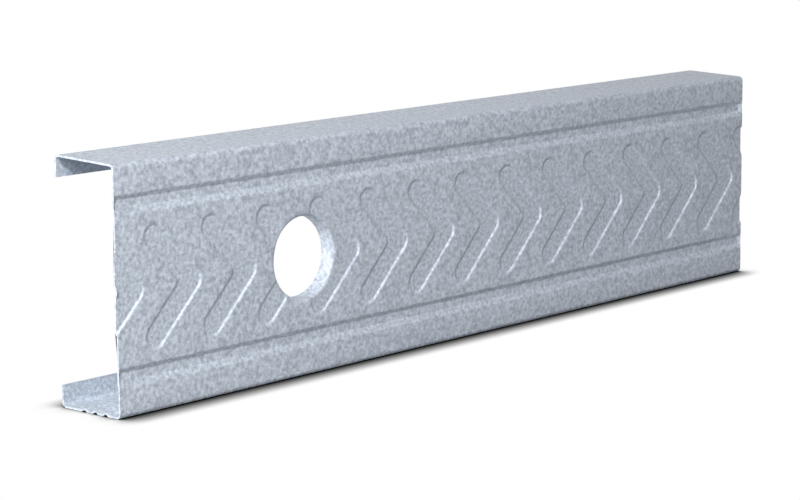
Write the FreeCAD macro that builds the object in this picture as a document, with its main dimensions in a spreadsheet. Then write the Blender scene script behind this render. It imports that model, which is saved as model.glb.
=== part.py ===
import FreeCAD, Part
import Sketcher
import os

# A short cut length of a cold-rolled, zinc-coated steel stud.  One strip of thin sheet is bent
# into a channel: a web, two flanges and a small return lip on each.  The stud stands on its
# lower flange with the web upright: X runs along it, the web's outer face looks along -Y, and
# Z is up.  The origin is below the middle of the stud, on the surface that it stands on.

document = FreeCAD.newDocument("steel_stud")

# Sizes, in millimetres and degrees
sizes = document.addObject("Spreadsheet::Sheet", "Sizes")
SIZES = (
    ("stud_length", 390.0, "cut length"),
    ("web_height", 92.1, "over both flanges"),
    ("flange_width", 31.75, "over the web and the lips"),
    ("lip_length", 8.4, "from the flange's outer face to the lip's edge"),
    ("flange_spring", 2.5, "how far the upper flange stands open from square"),
    ("gauge", 0.75, "thickness of the sheet"),
    ("bend_radius", 2.0, "outside of the four long bends"),
    ("groove_inset", 14.75, "middle of a web groove, from the flange's outer face"),
    ("groove_width", 5.8, "halfway down its walls"),
    ("groove_depth", 1.3, "of the web grooves"),
    ("groove_slope", 1.8, "how far a groove's wall leans"),
    ("first_rib", 8.0, "flange groove next to the web, from the web's outer face"),
    ("second_rib", 13.6, "flange groove in the middle"),
    ("third_rib", 19.6, "flange groove next to the lip"),
    ("rib_radius", 2.4, "round bottom of a flange groove"),
    ("rib_depth", 0.7, "of the flange grooves"),
    ("band_pitch", 28.43, "from one pressed chevron to the next"),
    ("first_apex", 8.0, "tip of the first chevron's middle line, from the near end"),
    ("band_angle", 45.0, "of a leg to the stud's length"),
    ("band_rise", 18.25, "from mid-height to the middle of a leg's round end"),
    ("band_width", 9.0, "halfway down its walls"),
    ("band_depth", 0.8, "of the chevrons"),
    ("band_slope", 0.8, "how far a chevron's wall leans"),
    ("outer_tip_radius", 4.5, "outside of a chevron's tip"),
    ("inner_tip_radius", 1.2, "inside of a chevron's tip"),
    ("hole_from_end", 96.2, "middle of the service hole, from the near end"),
    ("hole_radius", 15.875, "inside the collar"),
    ("flare_radius", 2.5, "from the web's face into the hole"),
    ("collar_depth", 6.8, "from the web's outer face to the collar's edge"),
)
for row, (alias, value, meaning) in enumerate(SIZES, start=1):
    sizes.set(f"A{row}", meaning)
    sizes.set(f"B{row}", str(value))
    sizes.setAlias(f"B{row}", alias)
document.recompute()

# The stud is modelled about its own middle and lifted to stand on its lower flange.
stud = document.addObject("PartDesign::Body", "steel_stud")
stud.Label = "steel_stud"
stud.setExpression("Placement.Base.z", "Sizes.web_height / 2")


def origin_plane(role):
    """One of the stud's own middle planes."""
    return next(item for item in stud.Origin.OriginFeatures if item.Role == role)


def sketch_on(role, name, offset=None):
    """An empty sketch on a middle plane, or moved out from it."""
    sketch = stud.newObject("Sketcher::SketchObject", name)
    sketch.AttachmentSupport = [(origin_plane(role), "")]
    sketch.MapMode = "FlatFace"
    if offset:
        sketch.setExpression("AttachmentOffset.Base.z", offset)
    return sketch


def bind(sketch, constraint, expression):
    """A constraint that takes its value from the sizes."""
    index = sketch.addConstraint(constraint)
    sketch.setExpression(f"Constraints[{index}]", expression)


def worked_out(expression):
    """The present value of an expression."""
    return float(sizes.evalExpression(expression))


ORIGIN = (-1, 1)


def place(sketch, element, end, across, up):
    """Hold one point of a sketch at its two distances from the middle."""
    bind(sketch, Sketcher.Constraint("DistanceX", *ORIGIN, element, end, worked_out(across)), across)
    bind(sketch, Sketcher.Constraint("DistanceY", *ORIGIN, element, end, worked_out(up)), up)


def polygon(sketch, corners):
    """A closed outline of straight lines through corners given as pairs of expressions."""
    points = [FreeCAD.Vector(worked_out(across), worked_out(up), 0) for across, up in corners]
    first = sketch.GeometryCount
    for start, finish in zip(points, points[1:] + points[:1]):
        sketch.addGeometry(Part.LineSegment(start, finish), False)
    last = first + len(corners) - 1
    for element in range(first, last + 1):
        after = element + 1 if element < last else first
        sketch.addConstraint(Sketcher.Constraint("Coincident", element, 2, after, 1))
        place(sketch, element, 1, *corners[element - first])


HALF_WEB = "Sizes.web_height / 2"
HALF_FLANGE = "Sizes.flange_width / 2"


def rib_section(sketch, middle, face, widening):
    """A round section sunk into the lower flange from one of its faces."""
    chord = f"-({face})"
    radius = f"(Sizes.rib_radius + {widening})"
    centre_up = f"{chord} + Sizes.rib_depth - {radius}"
    centre = FreeCAD.Vector(worked_out(middle), worked_out(centre_up), 0)
    measure = worked_out(radius)
    level = worked_out(chord)
    half = (measure**2 - (level - centre.y) ** 2) ** 0.5
    left = FreeCAD.Vector(centre.x - half, level, 0)
    right = FreeCAD.Vector(centre.x + half, level, 0)
    top = FreeCAD.Vector(centre.x, centre.y + measure, 0)
    line = sketch.addGeometry(Part.LineSegment(left, right), False)
    arc = sketch.addGeometry(Part.Arc(right, top, left), False)
    sketch.addConstraint(Sketcher.Constraint("Coincident", line, 2, arc, 1))
    sketch.addConstraint(Sketcher.Constraint("Coincident", line, 1, arc, 2))
    sketch.addConstraint(Sketcher.Constraint("Horizontal", line))
    bind(sketch, Sketcher.Constraint("DistanceY", *ORIGIN, line, 1, level), chord)
    place(sketch, arc, 3, middle, centre_up)
    bind(sketch, Sketcher.Constraint("Radius", arc, measure), radius)


# The strip runs past both cut ends until it is sheared.
STRIP = "Sizes.stud_length + 4 * Sizes.band_pitch"


def along_stud(kind, name, sketch):
    """A pad or pocket that runs the whole strip."""
    feature = stud.newObject(kind, name)
    feature.Profile = sketch
    feature.Midplane = True
    feature.setExpression("Length", STRIP)
    sketch.Visibility = False
    return feature


# Channel: web, flanges and lips, first with sharp corners.  The lower flange is square to the
# web, and the upper one springs open a little, with its lip still upright.
inner_web = f"-({HALF_FLANGE}) + Sizes.gauge"
inner_lip = f"{HALF_FLANGE} - Sizes.gauge"
inner_flange = f"{HALF_WEB} - Sizes.gauge"
lip_edge = f"{HALF_WEB} - Sizes.lip_length"


def on_flange(across, up, spring):
    """A height on a flange that stands open from square, at a distance across."""
    return f"{up} + ({across} + {HALF_FLANGE}) * tan({spring})"


def half_channel(side, spring):
    """The corners of the channel above or below its middle, from the web's inner face round."""
    corners = (
        (inner_web, on_flange(inner_web, inner_flange, spring)),
        (inner_lip, on_flange(inner_lip, inner_flange, spring)),
        (inner_lip, on_flange(HALF_FLANGE, lip_edge, spring)),
        (HALF_FLANGE, on_flange(HALF_FLANGE, lip_edge, spring)),
        (HALF_FLANGE, on_flange(HALF_FLANGE, HALF_WEB, spring)),
        (f"-({HALF_FLANGE})", HALF_WEB),
    )
    return [(across, f"({side}) * ({up})") for across, up in corners]


upper_half = half_channel(1, "Sizes.flange_spring")
lower_half = half_channel(-1, "0")
channel_section = sketch_on("YZ_Plane", "channel_section")
polygon(channel_section, upper_half + lower_half[::-1])
channel = along_stud("PartDesign::Pad", "channel", channel_section)
document.recompute()


def bend(name, corners, radius):
    """Round the long edges that run through the given corners of the section."""
    base = stud.Tip
    edges = []
    for number, edge in enumerate(base.Shape.Edges, start=1):
        middle = edge.BoundBox.Center
        runs_along = edge.BoundBox.XLength > worked_out("Sizes.stud_length")
        for across, up in corners:
            corner = FreeCAD.Vector(middle.x, worked_out(across), worked_out(up))
            if runs_along and middle.distanceToPoint(corner) < 0.01:
                edges.append(f"Edge{number}")
    feature = stud.newObject("PartDesign::Fillet", name)
    feature.Base = (base, edges)
    feature.setExpression("Radius", radius)
    document.recompute()
    return feature


outer_bends = bend("outer_bends", upper_half[4:] + lower_half[4:], "Sizes.bend_radius")
inner_bends = bend(
    "inner_bends", upper_half[:2] + lower_half[:2], "Sizes.bend_radius - Sizes.gauge"
)

# Long grooves, two in the web and three in the lower flange.  The sheet keeps its thickness, so
# each one is a ridge inside the channel and a groove outside.
groove_lean = "Sizes.gauge * tan(atan(Sizes.groove_depth / Sizes.groove_slope) / 2)"


def web_groove(sketch, side, face, widening):
    """The section of a web groove, sunk from the given face of the sheet."""
    mouth = f"Sizes.groove_width / 2 + Sizes.groove_slope / 2 + {widening}"
    bottom = f"Sizes.groove_width / 2 - Sizes.groove_slope / 2 + {widening}"
    floor = f"{face} + Sizes.groove_depth"
    middle = f"({side}) * ({HALF_WEB} - Sizes.groove_inset)"
    polygon(
        sketch,
        (
            (face, f"{middle} - ({mouth})"),
            (floor, f"{middle} - ({bottom})"),
            (floor, f"{middle} + ({bottom})"),
            (face, f"{middle} + ({mouth})"),
        ),
    )


RIBS = ("first_rib", "second_rib", "third_rib")
ridge_sections = sketch_on("YZ_Plane", "ridge_sections")
groove_sections = sketch_on("YZ_Plane", "groove_sections")
for side in (1, -1):
    web_groove(ridge_sections, side, inner_web, groove_lean)
    web_groove(groove_sections, side, f"-({HALF_FLANGE})", "0")
for rib in RIBS:
    middle = f"Sizes.{rib} - {HALF_FLANGE}"
    rib_section(ridge_sections, middle, inner_flange, "Sizes.gauge")
    rib_section(groove_sections, middle, HALF_WEB, "0")
ridges = along_stud("PartDesign::Pad", "ridges", ridge_sections)
document.recompute()
grooves = along_stud("PartDesign::Pocket", "grooves", groove_sections)
document.recompute()

# Pressed chevrons.  One band with round ends is drawn about the near end, once on the web's
# outer face for the recess and once on its inner face, a little wider, for the bump behind it.
NEAR_END = "(-Sizes.stud_length / 2)"
FIRST_TIP = f"({NEAR_END} + Sizes.first_apex)"
OUTER_FACE = HALF_FLANGE
INNER_FACE = f"{HALF_FLANGE} - Sizes.gauge"
band_lean = "Sizes.gauge * tan(atan(Sizes.band_depth / Sizes.band_slope) / 2)"


def chevron(name, face, widening):
    """One band: two legs, a round end on each, and a rounded tip that points along the stud."""
    sketch = sketch_on("XZ_Plane", name, face)
    radius = {
        "end": f"((Sizes.band_width + Sizes.band_slope) / 2 + {widening})",
        "outer": f"(Sizes.outer_tip_radius + {widening})",
        "inner": f"(Sizes.inner_tip_radius - {widening})",
    }
    centre_x = {
        "end": f"({FIRST_TIP} - Sizes.band_rise / tan(Sizes.band_angle))",
        "outer": f"({FIRST_TIP} + ({radius['end']} - {radius['outer']}) / sin(Sizes.band_angle))",
        "inner": f"({FIRST_TIP} - ({radius['end']} + {radius['inner']}) / sin(Sizes.band_angle))",
    }
    measure = {arc: worked_out(expression) for arc, expression in radius.items()}
    centre = {arc: worked_out(expression) for arc, expression in centre_x.items()}
    rise = worked_out("Sizes.band_rise")
    along = worked_out("sin(Sizes.band_angle)")
    across = worked_out("cos(Sizes.band_angle)")

    def rim(arc, side, distance):
        """The point where a leg's edge meets one of the arcs."""
        height = side * rise if arc == "end" else 0
        return FreeCAD.Vector(centre[arc] + distance * along, height + side * distance * across, 0)

    legs = {}
    for edge, outward in (("outer", 1), ("inner", -1)):
        for side in (1, -1):
            tip = rim(edge, side, measure[edge])
            end = rim("end", side, outward * measure["end"])
            legs[edge, side] = sketch.addGeometry(Part.LineSegment(tip, end), False)
    for side in (1, -1):
        far_point = FreeCAD.Vector(
            centre["end"] - measure["end"] * across, side * (rise + measure["end"] * along), 0
        )
        start = rim("end", side, measure["end"])
        finish = rim("end", side, -measure["end"])
        end_arc = sketch.addGeometry(Part.Arc(start, far_point, finish), False)
        outer_point = 1 if side > 0 else 2
        for edge, point in (("outer", outer_point), ("inner", 3 - outer_point)):
            tangent = Sketcher.Constraint("Tangent", legs[edge, side], 2, end_arc, point)
            sketch.addConstraint(tangent)
        place(sketch, end_arc, 3, centre_x["end"], f"({side}) * Sizes.band_rise")
        bind(sketch, Sketcher.Constraint("Radius", end_arc, measure["end"]), radius["end"])
    for edge in ("outer", "inner"):
        front = FreeCAD.Vector(centre[edge] + measure[edge], 0, 0)
        start = rim(edge, -1, measure[edge])
        finish = rim(edge, 1, measure[edge])
        tip_arc = sketch.addGeometry(Part.Arc(start, front, finish), False)
        for side, point in ((1, 2), (-1, 1)):
            tangent = Sketcher.Constraint("Tangent", legs[edge, side], 1, tip_arc, point)
            sketch.addConstraint(tangent)
        place(sketch, tip_arc, 3, centre_x[edge], "0")
        bind(sketch, Sketcher.Constraint("Radius", tip_arc, measure[edge]), radius[edge])
    sketch.Visibility = False
    return sketch


def pressed(kind, name, sketch):
    """The bump or the recess of a band, with walls that lean inwards."""
    feature = stud.newObject(kind, name)
    feature.Profile = sketch
    feature.Reversed = kind == "PartDesign::Pad"
    feature.setExpression("Length", "Sizes.band_depth")
    feature.setExpression("TaperAngle", "-atan(Sizes.band_slope / Sizes.band_depth)")
    return feature


bump_outline = chevron("bump_outline", INNER_FACE, band_lean)
band_bump = pressed("PartDesign::Pad", "band_bump", bump_outline)
document.recompute()
recess_outline = chevron("recess_outline", OUTER_FACE, "0")
band_recess = pressed("PartDesign::Pocket", "band_recess", recess_outline)
document.recompute()

band_reach = "(Sizes.band_rise / tan(Sizes.band_angle) + Sizes.band_width)"
bands = stud.newObject("PartDesign::LinearPattern", "bands")
bands.Originals = [band_bump, band_recess]
bands.Direction = (origin_plane("X_Axis"), [""])
bands.Mode = "Spacing"
bands.setExpression("Offset", "Sizes.band_pitch")
band_count = f"ceil((Sizes.stud_length - Sizes.first_apex + {band_reach}) / Sizes.band_pitch)"
bands.setExpression("Occurrences", band_count)
stud.Tip = bands
document.recompute()

# Service hole.  The punch turns the web inwards, so the hole has a flared mouth and a short
# round collar inside the channel.  It is pressed after the chevrons and flattens them there.
FACE = f"-({HALF_FLANGE})"
MOUTH = "Sizes.hole_radius + Sizes.flare_radius"
FLARE_CENTRE = f"{FACE} + Sizes.flare_radius"
COLLAR_EDGE = f"{FACE} + Sizes.collar_depth"


def hole_profile(name, wall):
    """Half of the hole's section, from its middle line out to the flare and a wall beyond."""
    sketch = sketch_on("XY_Plane", name)
    sketch.setExpression("AttachmentOffset.Base.x", f"{NEAR_END} + Sizes.hole_from_end")
    radius = f"Sizes.hole_radius + {wall}"
    flare = f"Sizes.flare_radius - {wall}"
    corners = (
        (MOUTH, f"{FACE} + {wall}"),
        (MOUTH, f"{FACE} - Sizes.gauge"),
        ("0", f"{FACE} - Sizes.gauge"),
        ("0", COLLAR_EDGE),
        (radius, COLLAR_EDGE),
        (radius, FLARE_CENTRE),
    )
    points = [FreeCAD.Vector(worked_out(across), worked_out(up), 0) for across, up in corners]
    for start, finish in zip(points, points[1:]):
        sketch.addGeometry(Part.LineSegment(start, finish), False)
    last = len(points) - 2
    middle = FreeCAD.Vector(worked_out(MOUTH), worked_out(FLARE_CENTRE), 0)
    reach = worked_out(flare) * 0.5**0.5
    bulge = middle - FreeCAD.Vector(reach, reach, 0)
    arc = sketch.addGeometry(Part.Arc(points[-1], bulge, points[0]), False)
    for element in range(last):
        sketch.addConstraint(Sketcher.Constraint("Coincident", element, 2, element + 1, 1))
        place(sketch, element, 1, *corners[element])
    place(sketch, last, 1, *corners[last])
    place(sketch, last, 2, *corners[last + 1])
    sketch.addConstraint(Sketcher.Constraint("Coincident", arc, 1, last, 2))
    sketch.addConstraint(Sketcher.Constraint("Coincident", arc, 2, 0, 1))
    bind(sketch, Sketcher.Constraint("Radius", arc, worked_out(flare)), flare)
    sketch.Visibility = False
    return sketch


def turned(kind, name, profile):
    """A full turn of a profile about the middle line of the hole."""
    feature = stud.newObject(kind, name)
    feature.Profile = profile
    feature.ReferenceAxis = (profile, ["V_Axis"])
    feature.Angle = 360
    return feature


collar_profile = hole_profile("collar_profile", "Sizes.gauge")
collar = turned("PartDesign::Revolution", "collar", collar_profile)
document.recompute()
punch_profile = hole_profile("punch_profile", "0")
punch = turned("PartDesign::Groove", "punch", punch_profile)
document.recompute()

# The strip is sheared square to length at both ends.
waste = sketch_on("XZ_Plane", "waste")
FAR_END = "Sizes.stud_length / 2"
STRIP_END = "(Sizes.stud_length / 2 + 3 * Sizes.band_pitch)"
for side in (1, -1):
    polygon(
        waste,
        (
            (f"({side}) * {FAR_END}", f"-({side}) * Sizes.web_height"),
            (f"({side}) * {STRIP_END}", f"-({side}) * Sizes.web_height"),
            (f"({side}) * {STRIP_END}", f"({side}) * Sizes.web_height"),
            (f"({side}) * {FAR_END}", f"({side}) * Sizes.web_height"),
        ),
    )
waste.Visibility = False
sheared_ends = stud.newObject("PartDesign::Pocket", "sheared_ends")
sheared_ends.Profile = waste
sheared_ends.Midplane = True
sheared_ends.setExpression("Length", "4 * Sizes.flange_width")
document.recompute()

# Every object has to be sound before the stud is written.
for item in document.Objects:
    if "Invalid" in item.State or "Error" in item.State:
        raise RuntimeError(f"{item.Label} failed")
if stud.Shape.isNull() or not stud.Shape.isValid() or len(stud.Shape.Solids) != 1:
    raise RuntimeError("the stud is not one sound solid")
os.makedirs("parts", exist_ok=True)
stud.Shape.exportStep(f"parts/{stud.Label}.step")
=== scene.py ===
import math

import bmesh
import bpy
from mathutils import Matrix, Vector


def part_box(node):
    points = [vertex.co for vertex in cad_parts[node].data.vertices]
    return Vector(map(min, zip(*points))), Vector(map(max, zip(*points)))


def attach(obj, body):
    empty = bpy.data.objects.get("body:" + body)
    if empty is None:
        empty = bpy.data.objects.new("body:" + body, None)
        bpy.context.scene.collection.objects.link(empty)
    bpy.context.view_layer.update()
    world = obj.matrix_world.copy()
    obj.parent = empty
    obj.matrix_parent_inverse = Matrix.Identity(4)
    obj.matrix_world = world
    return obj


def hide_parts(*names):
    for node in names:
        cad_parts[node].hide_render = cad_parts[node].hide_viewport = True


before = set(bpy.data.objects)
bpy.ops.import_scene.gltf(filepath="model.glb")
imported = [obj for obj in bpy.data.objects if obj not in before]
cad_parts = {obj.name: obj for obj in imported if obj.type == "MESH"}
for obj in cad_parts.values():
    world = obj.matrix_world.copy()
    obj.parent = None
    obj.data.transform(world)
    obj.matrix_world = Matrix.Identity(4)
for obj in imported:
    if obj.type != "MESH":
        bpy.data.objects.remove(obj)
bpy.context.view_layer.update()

# Steel stud: one strip of zinc-coated sheet, rolled into a channel with a lip on each flange.
# It is modelled as the outer face of the sheet, in millimetres from the near end, the web's
# outer face and the floor.  The chevrons are pressed first, then the rest of the section is
# rolled on, the hole is punched, the sheet gets its thickness and the ends are sheared.
METRE = 1000.0
low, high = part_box("steel_stud")
stud_length = (high[0] - low[0]) * METRE
flange_width = (high[1] - low[1]) * METRE
web_height = 92.1
flange_spring = math.radians(2.5)
gauge = 0.75
mid_height = web_height / 2
near_enough = 0.01

bpy.ops.object.select_all(action="DESELECT")
bpy.ops.mesh.primitive_circle_add(vertices=3)
stud = bpy.context.object
stud.name = "galvanised_stud"
bpy.ops.object.mode_set(mode="EDIT")
bpy.ops.mesh.delete(type="VERT")


def select_where(kind, test):
    """Select, of the vertices, edges or faces being edited, those that pass a test."""
    mesh = bmesh.from_edit_mesh(stud.data)
    bpy.ops.mesh.select_all(action="DESELECT")
    for item in getattr(mesh, kind):
        if test(item):
            item.select_set(True)
    mesh.select_flush_mode()
    bmesh.update_edit_mesh(stud.data)


# Chevrons pressed into the web: a flat-bottomed band with round ends, its legs at an angle to
# the web.  One is made on a tile of its own, cut halfway to its neighbours, and then repeated.
# Its floor is set a little toward the far end, so the walls on that side are the steeper ones.
band_pitch = 28.43
first_apex = 8.0
band_rise = 18.25
band_angle = math.radians(45.0)
band_width = 9.0
band_depth = 0.8
band_slope = 1.1
band_drift = 0.75
band_margin = 0.6
outer_tip_radius = 4.5
inner_tip_radius = 1.2
panel_rise = 24.6
band_count = 15
arc_steps = 16
inner_arc_steps = 8
end_roundness = 0.995
outline_merge = 0.08


def lay_outline(corners, fill_type):
    """A flat outline in the web's outer face, its corners in turn from the lower left."""
    bpy.ops.mesh.primitive_circle_add(vertices=len(corners), fill_type=fill_type)
    mesh = bmesh.from_edit_mesh(stud.data)
    laid = [vertex for vertex in mesh.verts if vertex.select]
    laid.sort(key=lambda vertex: math.atan2(vertex.co.y, vertex.co.x))
    for vertex, (x, z) in zip(laid, corners):
        vertex.co = (x, 0, z)
    bmesh.update_edit_mesh(stud.data)


def round_corners(corners, radius, segments):
    """Round some corners of the outline."""
    places = [Vector((x, 0, z)) for x, z in corners]
    select_where(
        "verts", lambda v: any((v.co - place).length < near_enough for place in places)
    )
    bpy.ops.mesh.bevel(affect="VERTICES", offset=radius, segments=segments, clamp_overlap=False)


half_band = (band_width + band_slope) / 2 + band_margin
reach = half_band / math.sin(band_angle)
back = band_rise / math.tan(band_angle)
along = Vector((-math.cos(band_angle), math.sin(band_angle))) * half_band
across = Vector((math.sin(band_angle), math.cos(band_angle))) * half_band
end_middle = Vector((first_apex - back, band_rise))
outer_corner = end_middle + along + across
inner_corner = end_middle + along - across
outline = (
    (inner_corner.x, mid_height - inner_corner.y),
    (outer_corner.x, mid_height - outer_corner.y),
    (first_apex + reach, mid_height),
    (outer_corner.x, mid_height + outer_corner.y),
    (inner_corner.x, mid_height + inner_corner.y),
    (first_apex - reach, mid_height),
)
lay_outline(outline, "NGON")
round_corners(outline[0:2] + outline[3:5], half_band * end_roundness, arc_steps)
round_corners(outline[2:3], outer_tip_radius + band_slope / 2 + band_margin, arc_steps)
round_corners(outline[5:6], inner_tip_radius, inner_arc_steps)
bpy.ops.mesh.select_all(action="SELECT")
bpy.ops.mesh.remove_doubles(threshold=outline_merge)
bpy.ops.mesh.flip_normals()

# The mouth and the floor of the band, with the bends of the sheet rounded at both.
crest_radius = 1.0
root_radius = 0.45
bend_steps = 4
wall_below = 0.95
band_lean = math.atan2(band_depth, band_slope)
bpy.ops.mesh.inset(thickness=band_margin, use_even_offset=True)
bpy.ops.mesh.inset(thickness=band_slope, depth=band_depth, use_even_offset=True)
bpy.ops.transform.translate(value=(band_drift, 0, 0))
bpy.ops.mesh.inset(thickness=band_margin, use_even_offset=True)


def bend_edge_at(depth, radius):
    """Round the edge of the band at a depth, as the sheet bends there."""
    select_where(
        "edges",
        lambda e: all(abs(v.co.y - depth) < near_enough for v in e.verts)
        and any(abs(f.normal.y) < wall_below for f in e.link_faces),
    )
    bpy.ops.mesh.bevel(
        offset=radius * math.tan(band_lean / 2),
        segments=bend_steps,
        affect="EDGES",
        clamp_overlap=False,
    )


bend_edge_at(0, crest_radius)
bend_edge_at(band_depth, root_radius)

half_tile = band_pitch / 2
tile_back = panel_rise / math.tan(band_angle)
tile = (
    (first_apex - half_tile - tile_back, mid_height - panel_rise),
    (first_apex + half_tile - tile_back, mid_height - panel_rise),
    (first_apex + half_tile, mid_height),
    (first_apex + half_tile - tile_back, mid_height + panel_rise),
    (first_apex - half_tile - tile_back, mid_height + panel_rise),
    (first_apex - half_tile, mid_height),
)
lay_outline(tile, "NOTHING")
select_where("edges", lambda e: len(e.link_faces) < 2)
bpy.ops.mesh.fill()
bpy.ops.mesh.select_all(action="SELECT")
bpy.ops.mesh.normals_make_consistent(inside=False)
bpy.ops.object.mode_set(mode="OBJECT")
row = stud.modifiers.new("row", "ARRAY")
row.count = band_count
row.use_relative_offset = False
row.use_constant_offset = True
row.constant_offset_displace = (band_pitch, 0, 0)
row.use_merge_vertices = True
row.merge_threshold = near_enough
bpy.ops.object.modifier_apply(modifier="row")

# The rest of the section, rolled on from the long edges of the chevron panel: a flat groove
# along the web, the bend, a flange and the lip.  A web groove's lower wall leans more than its
# upper one.  The lower flange has three round grooves, and the upper flange stands a little open.
groove_inset = 14.75
groove_width = 5.3
groove_depth = 1.3
groove_upper_slope = 1.8
groove_lower_slope = 2.4
groove_crest = 1.2
groove_root = 0.8
bend_radius = 2.0
ribs = (8.0, 13.6, 19.6)
rib_crest = 0.9
rib_root = 1.5
rib_depth = 0.7
lip_length = 8.4
fewest_steps = 3
degrees_a_step = 9

mouth_half = groove_width / 2 + (groove_upper_slope + groove_lower_slope) / 4
floor_width = 2 * mouth_half - groove_upper_slope - groove_lower_slope
rib_lean = math.acos(1 - rib_depth / (rib_crest + rib_root))
rib_half = (rib_crest + rib_root) * math.sin(rib_lean)


def section(inner_slope, outer_slope, spring, grooves):
    """The strip from the chevron panel to the edge of the lip: runs, and the turns after them."""
    inner_lean = math.atan2(groove_depth, inner_slope)
    outer_lean = math.atan2(groove_depth, outer_slope)
    inner_crest = groove_crest * math.tan(inner_lean / 2)
    inner_root = groove_root * math.tan(inner_lean / 2)
    outer_root = groove_root * math.tan(outer_lean / 2)
    outer_crest = groove_crest * math.tan(outer_lean / 2)
    inner_wall = math.hypot(groove_depth, inner_slope)
    outer_wall = math.hypot(groove_depth, outer_slope)
    to_groove = web_height / 2 - panel_rise - groove_inset - mouth_half
    moves = [
        (to_groove - inner_crest, groove_crest, inner_lean),
        (inner_wall - inner_crest - inner_root, groove_root, -inner_lean),
        (floor_width - inner_root - outer_root, groove_root, -outer_lean),
        (outer_wall - outer_root - outer_crest, groove_crest, outer_lean),
    ]
    first_turn = math.pi / 2 - spring
    web_end = bend_radius * math.tan(first_turn / 2)
    moves.append((groove_inset - mouth_half - outer_crest - web_end, bend_radius, first_turn))
    reached = web_end
    for middle in grooves:
        moves.append((middle - rib_half - reached, rib_crest, rib_lean))
        moves.append((0, rib_root, -2 * rib_lean))
        moves.append((0, rib_crest, rib_lean))
        reached = middle + rib_half
    last_turn = math.pi / 2 + spring
    flange_end = bend_radius * math.tan(last_turn / 2)
    moves.append((flange_width / math.cos(spring) - flange_end - reached, bend_radius, last_turn))
    moves.append((lip_length - flange_end, 0, 0))
    return moves


bpy.ops.object.mode_set(mode="EDIT")
for side, slopes, spring, grooves in (
    (1, (groove_lower_slope, groove_upper_slope), flange_spring, ()),
    (-1, (groove_upper_slope, groove_lower_slope), 0.0, ribs),
):
    place = Vector((0, 0, mid_height + side * panel_rise))
    heading = 0.0
    select_where("edges", lambda e: all(abs(v.co.z - place.z) < near_enough for v in e.verts))
    for length, radius, angle in section(*slopes, spring, grooves):
        ahead = Vector((0, math.sin(heading), side * math.cos(heading)))
        if length:
            bpy.ops.mesh.extrude_region_move(TRANSFORM_OT_translate={"value": ahead * length})
            place += ahead * length
        if angle:
            toward = math.copysign(1, angle)
            inward = Vector((0, math.cos(heading), -side * math.sin(heading))) * toward
            centre = place + inward * radius
            steps = max(fewest_steps, round(abs(math.degrees(angle)) / degrees_a_step))
            bpy.ops.mesh.spin(steps=steps, angle=side * angle, center=centre, axis=(1, 0, 0))
            heading += angle
            turned = Vector((0, math.cos(heading), -side * math.sin(heading))) * toward
            place = centre - turned * radius

# Service hole: punched through the chevrons and turned inward as a short collar.  The sheet
# rolls round its edge, and what was pressed into it is ironed out on the way.
hole_x = 96.2
hole_radius = 15.875
flare_radius = 2.5
collar_depth = 6.8
flare_steps = 8
punch_points = 120
punch_length = 10
rim_slack = 1.01
inside_slack = 1.0001
rim_merge = 0.02

mouth_radius = hole_radius + flare_radius
bpy.ops.mesh.select_all(action="DESELECT")
bpy.ops.mesh.primitive_cylinder_add(
    vertices=punch_points,
    radius=mouth_radius,
    depth=punch_length,
    end_fill_type="NOTHING",
    location=(hole_x, 0, mid_height),
    rotation=(math.pi / 2, 0, 0),
)
bpy.ops.mesh.intersect(mode="SELECT_UNSELECT", separate_mode="CUT", solver="EXACT")


def from_hole(point):
    return math.hypot(point.x - hole_x, point.z - mid_height)


select_where(
    "faces", lambda f: all(from_hole(v.co) < mouth_radius * inside_slack for v in f.verts)
)
bpy.ops.mesh.delete(type="FACE")
select_where("verts", lambda v: not v.link_faces)
bpy.ops.mesh.delete(type="VERT")
select_where("verts", lambda v: from_hole(v.co) < mouth_radius * rim_slack)
bpy.ops.mesh.remove_doubles(threshold=rim_merge)
select_where(
    "edges", lambda e: e.is_boundary and from_hole(e.verts[0].co) < mouth_radius * rim_slack
)

radius = mouth_radius
depth = 0.0
for step in range(1, flare_steps + 1):
    turned = math.pi / 2 * step / flare_steps
    next_radius = mouth_radius - flare_radius * math.sin(turned)
    next_depth = flare_radius * (1 - math.cos(turned))
    narrower = next_radius / radius
    bpy.ops.mesh.extrude_region()
    bpy.ops.transform.resize(
        value=(narrower, 1 - step / flare_steps, narrower),
        center_override=(hole_x, depth, mid_height),
    )
    bpy.ops.transform.translate(value=(0, next_depth - depth, 0))
    radius = next_radius
    depth = next_depth
bpy.ops.mesh.extrude_region_move(TRANSFORM_OT_translate={"value": (0, collar_depth - depth, 0)})

# The shear presses the web grooves nearly flat at both ends.  Their depth runs out over the last
# millimetre and a half and is gone just past the cut, so a trace of it is left at the edge.
groove_end = 1.5
past_end = 0.2
for end, inward in ((0.0, 1), (stud_length, -1)):
    for cut in (end - inward * past_end, end + inward * groove_end):
        bpy.ops.mesh.select_all(action="SELECT")
        bpy.ops.mesh.bisect(plane_co=(cut, 0, 0), plane_no=(1, 0, 0))
    select_where(
        "verts",
        lambda v: (v.co.x - end) * inward < near_enough - past_end
        and any(
            abs(v.co.z - middle) < mouth_half + groove_crest
            for middle in (groove_inset, web_height - groove_inset)
        ),
    )
    bpy.ops.transform.resize(value=(1, 0, 1), center_override=(0, 0, 0))

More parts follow.
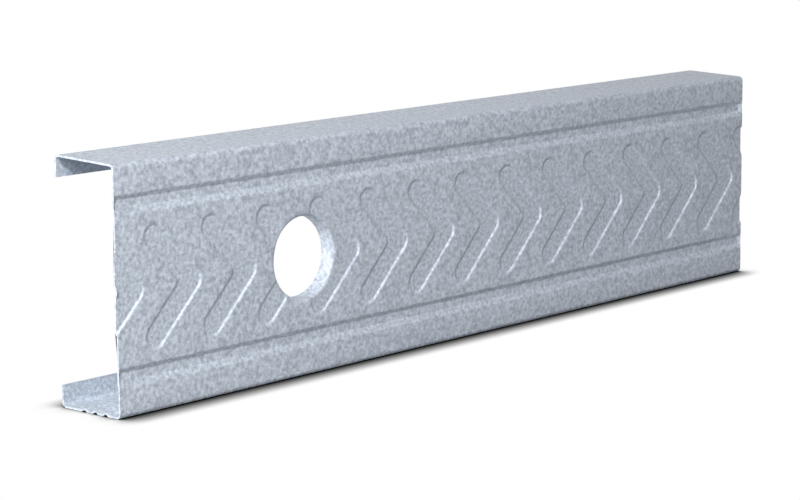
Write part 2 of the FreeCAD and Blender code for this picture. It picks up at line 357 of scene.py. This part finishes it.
# The sheet's thickness goes inward, and both ends are sheared square through it, through
# whichever chevrons stand there.  Points of a cut that nearly meet are merged, and one face
# closes each end.
sheet_merge = 0.005
cut_merge = 0.02
smooth_below = math.radians(35)
bpy.ops.mesh.select_all(action="SELECT")
bpy.ops.mesh.remove_doubles(threshold=sheet_merge)
bpy.ops.mesh.normals_make_consistent(inside=False)
bpy.ops.object.mode_set(mode="OBJECT")
sheet = stud.modifiers.new("sheet", "SOLIDIFY")
sheet.thickness = gauge
sheet.offset = -1.0
sheet.use_even_offset = True
bpy.ops.object.modifier_apply(modifier="sheet")
bpy.ops.object.mode_set(mode="EDIT")
bpy.ops.mesh.select_all(action="SELECT")
bpy.ops.mesh.bisect(plane_co=(0, 0, 0), plane_no=(1, 0, 0), clear_inner=True)
bpy.ops.mesh.select_all(action="SELECT")
bpy.ops.mesh.bisect(plane_co=(stud_length, 0, 0), plane_no=(1, 0, 0), clear_outer=True)
for end in (0.0, stud_length):
    select_where("verts", lambda v: abs(v.co.x - end) < near_enough)
    bpy.ops.mesh.remove_doubles(threshold=cut_merge)
    select_where("edges", lambda e: e.is_boundary and abs(e.verts[0].co.x - end) < near_enough)
    bpy.ops.mesh.edge_face_add()
bpy.ops.mesh.select_all(action="SELECT")
bpy.ops.mesh.normals_make_consistent(inside=False)
bpy.ops.object.mode_set(mode="OBJECT")

stud.location = (-stud_length / 2 / METRE, -flange_width / 2 / METRE, 0)
stud.scale = (1 / METRE, 1 / METRE, 1 / METRE)
bpy.ops.object.transform_apply(location=True, rotation=True, scale=True)
bpy.ops.object.shade_smooth_by_angle(angle=smooth_below)
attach(stud, "root")
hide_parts("steel_stud")

# Hot-dipped zinc: a pale blue-grey with a fine spangle, each grain a little lighter or darker
# and a little rougher or smoother than the next.
zinc = bpy.data.materials.new("zinc_sheet")
zinc.use_nodes = True
stud.data.materials.clear()
stud.data.materials.append(zinc)
tree = zinc.node_tree
tree.nodes.clear()
output = tree.nodes.new("ShaderNodeOutputMaterial")
shader = tree.nodes.new("ShaderNodeBsdfPrincipled")
position = tree.nodes.new("ShaderNodeTexCoord")
spangle = tree.nodes.new("ShaderNodeTexNoise")
tone = tree.nodes.new("ShaderNodeMapRange")
colour = tree.nodes.new("ShaderNodeMix")
roughness = tree.nodes.new("ShaderNodeMapRange")
relief = tree.nodes.new("ShaderNodeBump")

spangle.inputs["Scale"].default_value = 660.0
spangle.inputs["Detail"].default_value = 3.0
spangle.inputs["Roughness"].default_value = 0.6
tone.inputs["From Min"].default_value = 0.3
tone.inputs["From Max"].default_value = 0.7
colour.data_type = "RGBA"
colour.inputs["A"].default_value = (0.325, 0.365, 0.43, 1)
colour.inputs["B"].default_value = (0.70, 0.765, 0.855, 1)
roughness.inputs["From Min"].default_value = 0.3
roughness.inputs["From Max"].default_value = 0.7
roughness.inputs["To Min"].default_value = 0.42
roughness.inputs["To Max"].default_value = 0.58
relief.inputs["Strength"].default_value = 0.25
relief.inputs["Distance"].default_value = 0.0001
shader.inputs["Metallic"].default_value = 0.05

link = tree.links.new
link(position.outputs["Object"], spangle.inputs["Vector"])
link(spangle.outputs["Fac"], tone.inputs["Value"])
link(tone.outputs["Result"], colour.inputs["Factor"])
link(colour.outputs["Result"], shader.inputs["Base Color"])
link(spangle.outputs["Fac"], roughness.inputs["Value"])
link(roughness.outputs["Result"], shader.inputs["Roughness"])
link(spangle.outputs["Fac"], relief.inputs["Height"])
link(relief.outputs["Normal"], shader.inputs["Normal"])
link(shader.outputs["BSDF"], output.inputs["Surface"])

# Floor: white to the camera and to glossy or transmitted rays, with a painted contact shadow: its
# white is darkened by ambient occlusion only where the stud stands close to it.  To other rays it
# is a plain grey floor.
bpy.ops.mesh.primitive_plane_add(size=8, location=(0, 0, 0))
floor = bpy.context.object
floor.name = "floor"
paper = bpy.data.materials.new("paper")
paper.use_nodes = True
tree = paper.node_tree
tree.nodes.clear()
output = tree.nodes.new("ShaderNodeOutputMaterial")
looked_at = tree.nodes.new("ShaderNodeLightPath")
mirrored = tree.nodes.new("ShaderNodeMath")
mirrored.operation = "MAXIMUM"
seen_or_mirrored = tree.nodes.new("ShaderNodeMath")
seen_or_mirrored.operation = "MAXIMUM"
# Painted contact shadow: ambient occlusion from the stud dims the floor's white emission.
painted_contact_shadow = tree.nodes.new("ShaderNodeAmbientOcclusion")
edge = tree.nodes.new("ShaderNodeMapRange")
deepen = tree.nodes.new("ShaderNodeMath")
shown = tree.nodes.new("ShaderNodeEmission")
bounce = tree.nodes.new("ShaderNodeBsdfDiffuse")
choice = tree.nodes.new("ShaderNodeMixShader")
painted_contact_shadow.samples = 32
painted_contact_shadow.inputs["Distance"].default_value = 0.013
edge.inputs["From Min"].default_value = 0.4
edge.inputs["From Max"].default_value = 0.98
deepen.operation = "POWER"
deepen.inputs[1].default_value = 2.0
bounce.inputs["Color"].default_value = (0.5, 0.5, 0.5, 1)
link = tree.links.new
link(painted_contact_shadow.outputs["AO"], edge.inputs["Value"])
link(edge.outputs["Result"], deepen.inputs[0])
link(deepen.outputs["Value"], shown.inputs["Strength"])
link(looked_at.outputs["Is Glossy Ray"], mirrored.inputs[0])
link(looked_at.outputs["Is Transmission Ray"], mirrored.inputs[1])
link(looked_at.outputs["Is Camera Ray"], seen_or_mirrored.inputs[0])
link(mirrored.outputs["Value"], seen_or_mirrored.inputs[1])
link(seen_or_mirrored.outputs["Value"], choice.inputs["Fac"])
link(bounce.outputs["BSDF"], choice.inputs[1])
link(shown.outputs["Emission"], choice.inputs[2])
link(choice.outputs["Shader"], output.inputs["Surface"])
floor.data.materials.append(paper)

# Light: a white backdrop for the camera and for glossy or transmitted rays, a faint cool surround
# for other rays, and three lamps: one high beyond the near end, a small one closer to it, and a
# low one on the left, a little behind the stud.
world = bpy.data.worlds.new("room")
bpy.context.scene.world = world
world.use_nodes = True
room = world.node_tree
seen = room.nodes.new("ShaderNodeLightPath")
backdrop = room.nodes["Background"]
surround = room.nodes.new("ShaderNodeBackground")
choice = room.nodes.new("ShaderNodeMixShader")
surround.inputs["Color"].default_value = (0.9, 0.95, 1, 1)
surround.inputs["Strength"].default_value = 0.05
backdrop.inputs["Color"].default_value = (1, 1, 1, 1)
backdrop.inputs["Strength"].default_value = 1.0
mirrored = room.nodes.new("ShaderNodeMath")
mirrored.operation = "MAXIMUM"
white_for = room.nodes.new("ShaderNodeMath")
white_for.operation = "MAXIMUM"
room.links.new(seen.outputs["Is Glossy Ray"], mirrored.inputs[0])
room.links.new(seen.outputs["Is Transmission Ray"], mirrored.inputs[1])
room.links.new(seen.outputs["Is Camera Ray"], white_for.inputs[0])
room.links.new(mirrored.outputs["Value"], white_for.inputs[1])
room.links.new(white_for.outputs["Value"], choice.inputs["Fac"])
room.links.new(surround.outputs["Background"], choice.inputs[1])
room.links.new(backdrop.outputs["Background"], choice.inputs[2])
room.links.new(choice.outputs["Shader"], room.nodes["World Output"].inputs["Surface"])

lit_point = Vector((-0.02, 0, 0.045))


def lamp(name, where, size, power):
    """A square lamp, facing the stud."""
    bpy.ops.object.light_add(type="AREA", location=where)
    light = bpy.context.object
    light.name = name
    light.data.size = size
    light.data.energy = power
    light.rotation_euler = (lit_point - Vector(where)).to_track_quat("-Z", "Y").to_euler()


lamp("key", (-1.05, -0.7, 1.02), 0.35, 20.6)
lamp("near_end", (-0.5, -0.3, 0.3), 0.15, 0.75)
lamp("low_left", (-0.8, 0.3, 0.1), 0.3, 3.8)

# Camera: a long lens from the near end's left, a little above the stud.
bpy.ops.object.camera_add(location=(-0.772964, -0.673486, 0.207627))
camera = bpy.context.object
camera.name = "camera"
camera.rotation_euler = (math.radians(80.41), math.radians(0.59318), math.radians(-48.01682))
camera.data.lens = 112.113
camera.data.sensor_width = 36.0
bpy.context.scene.camera = camera
bpy.context.scene.view_settings.view_transform = "Standard"
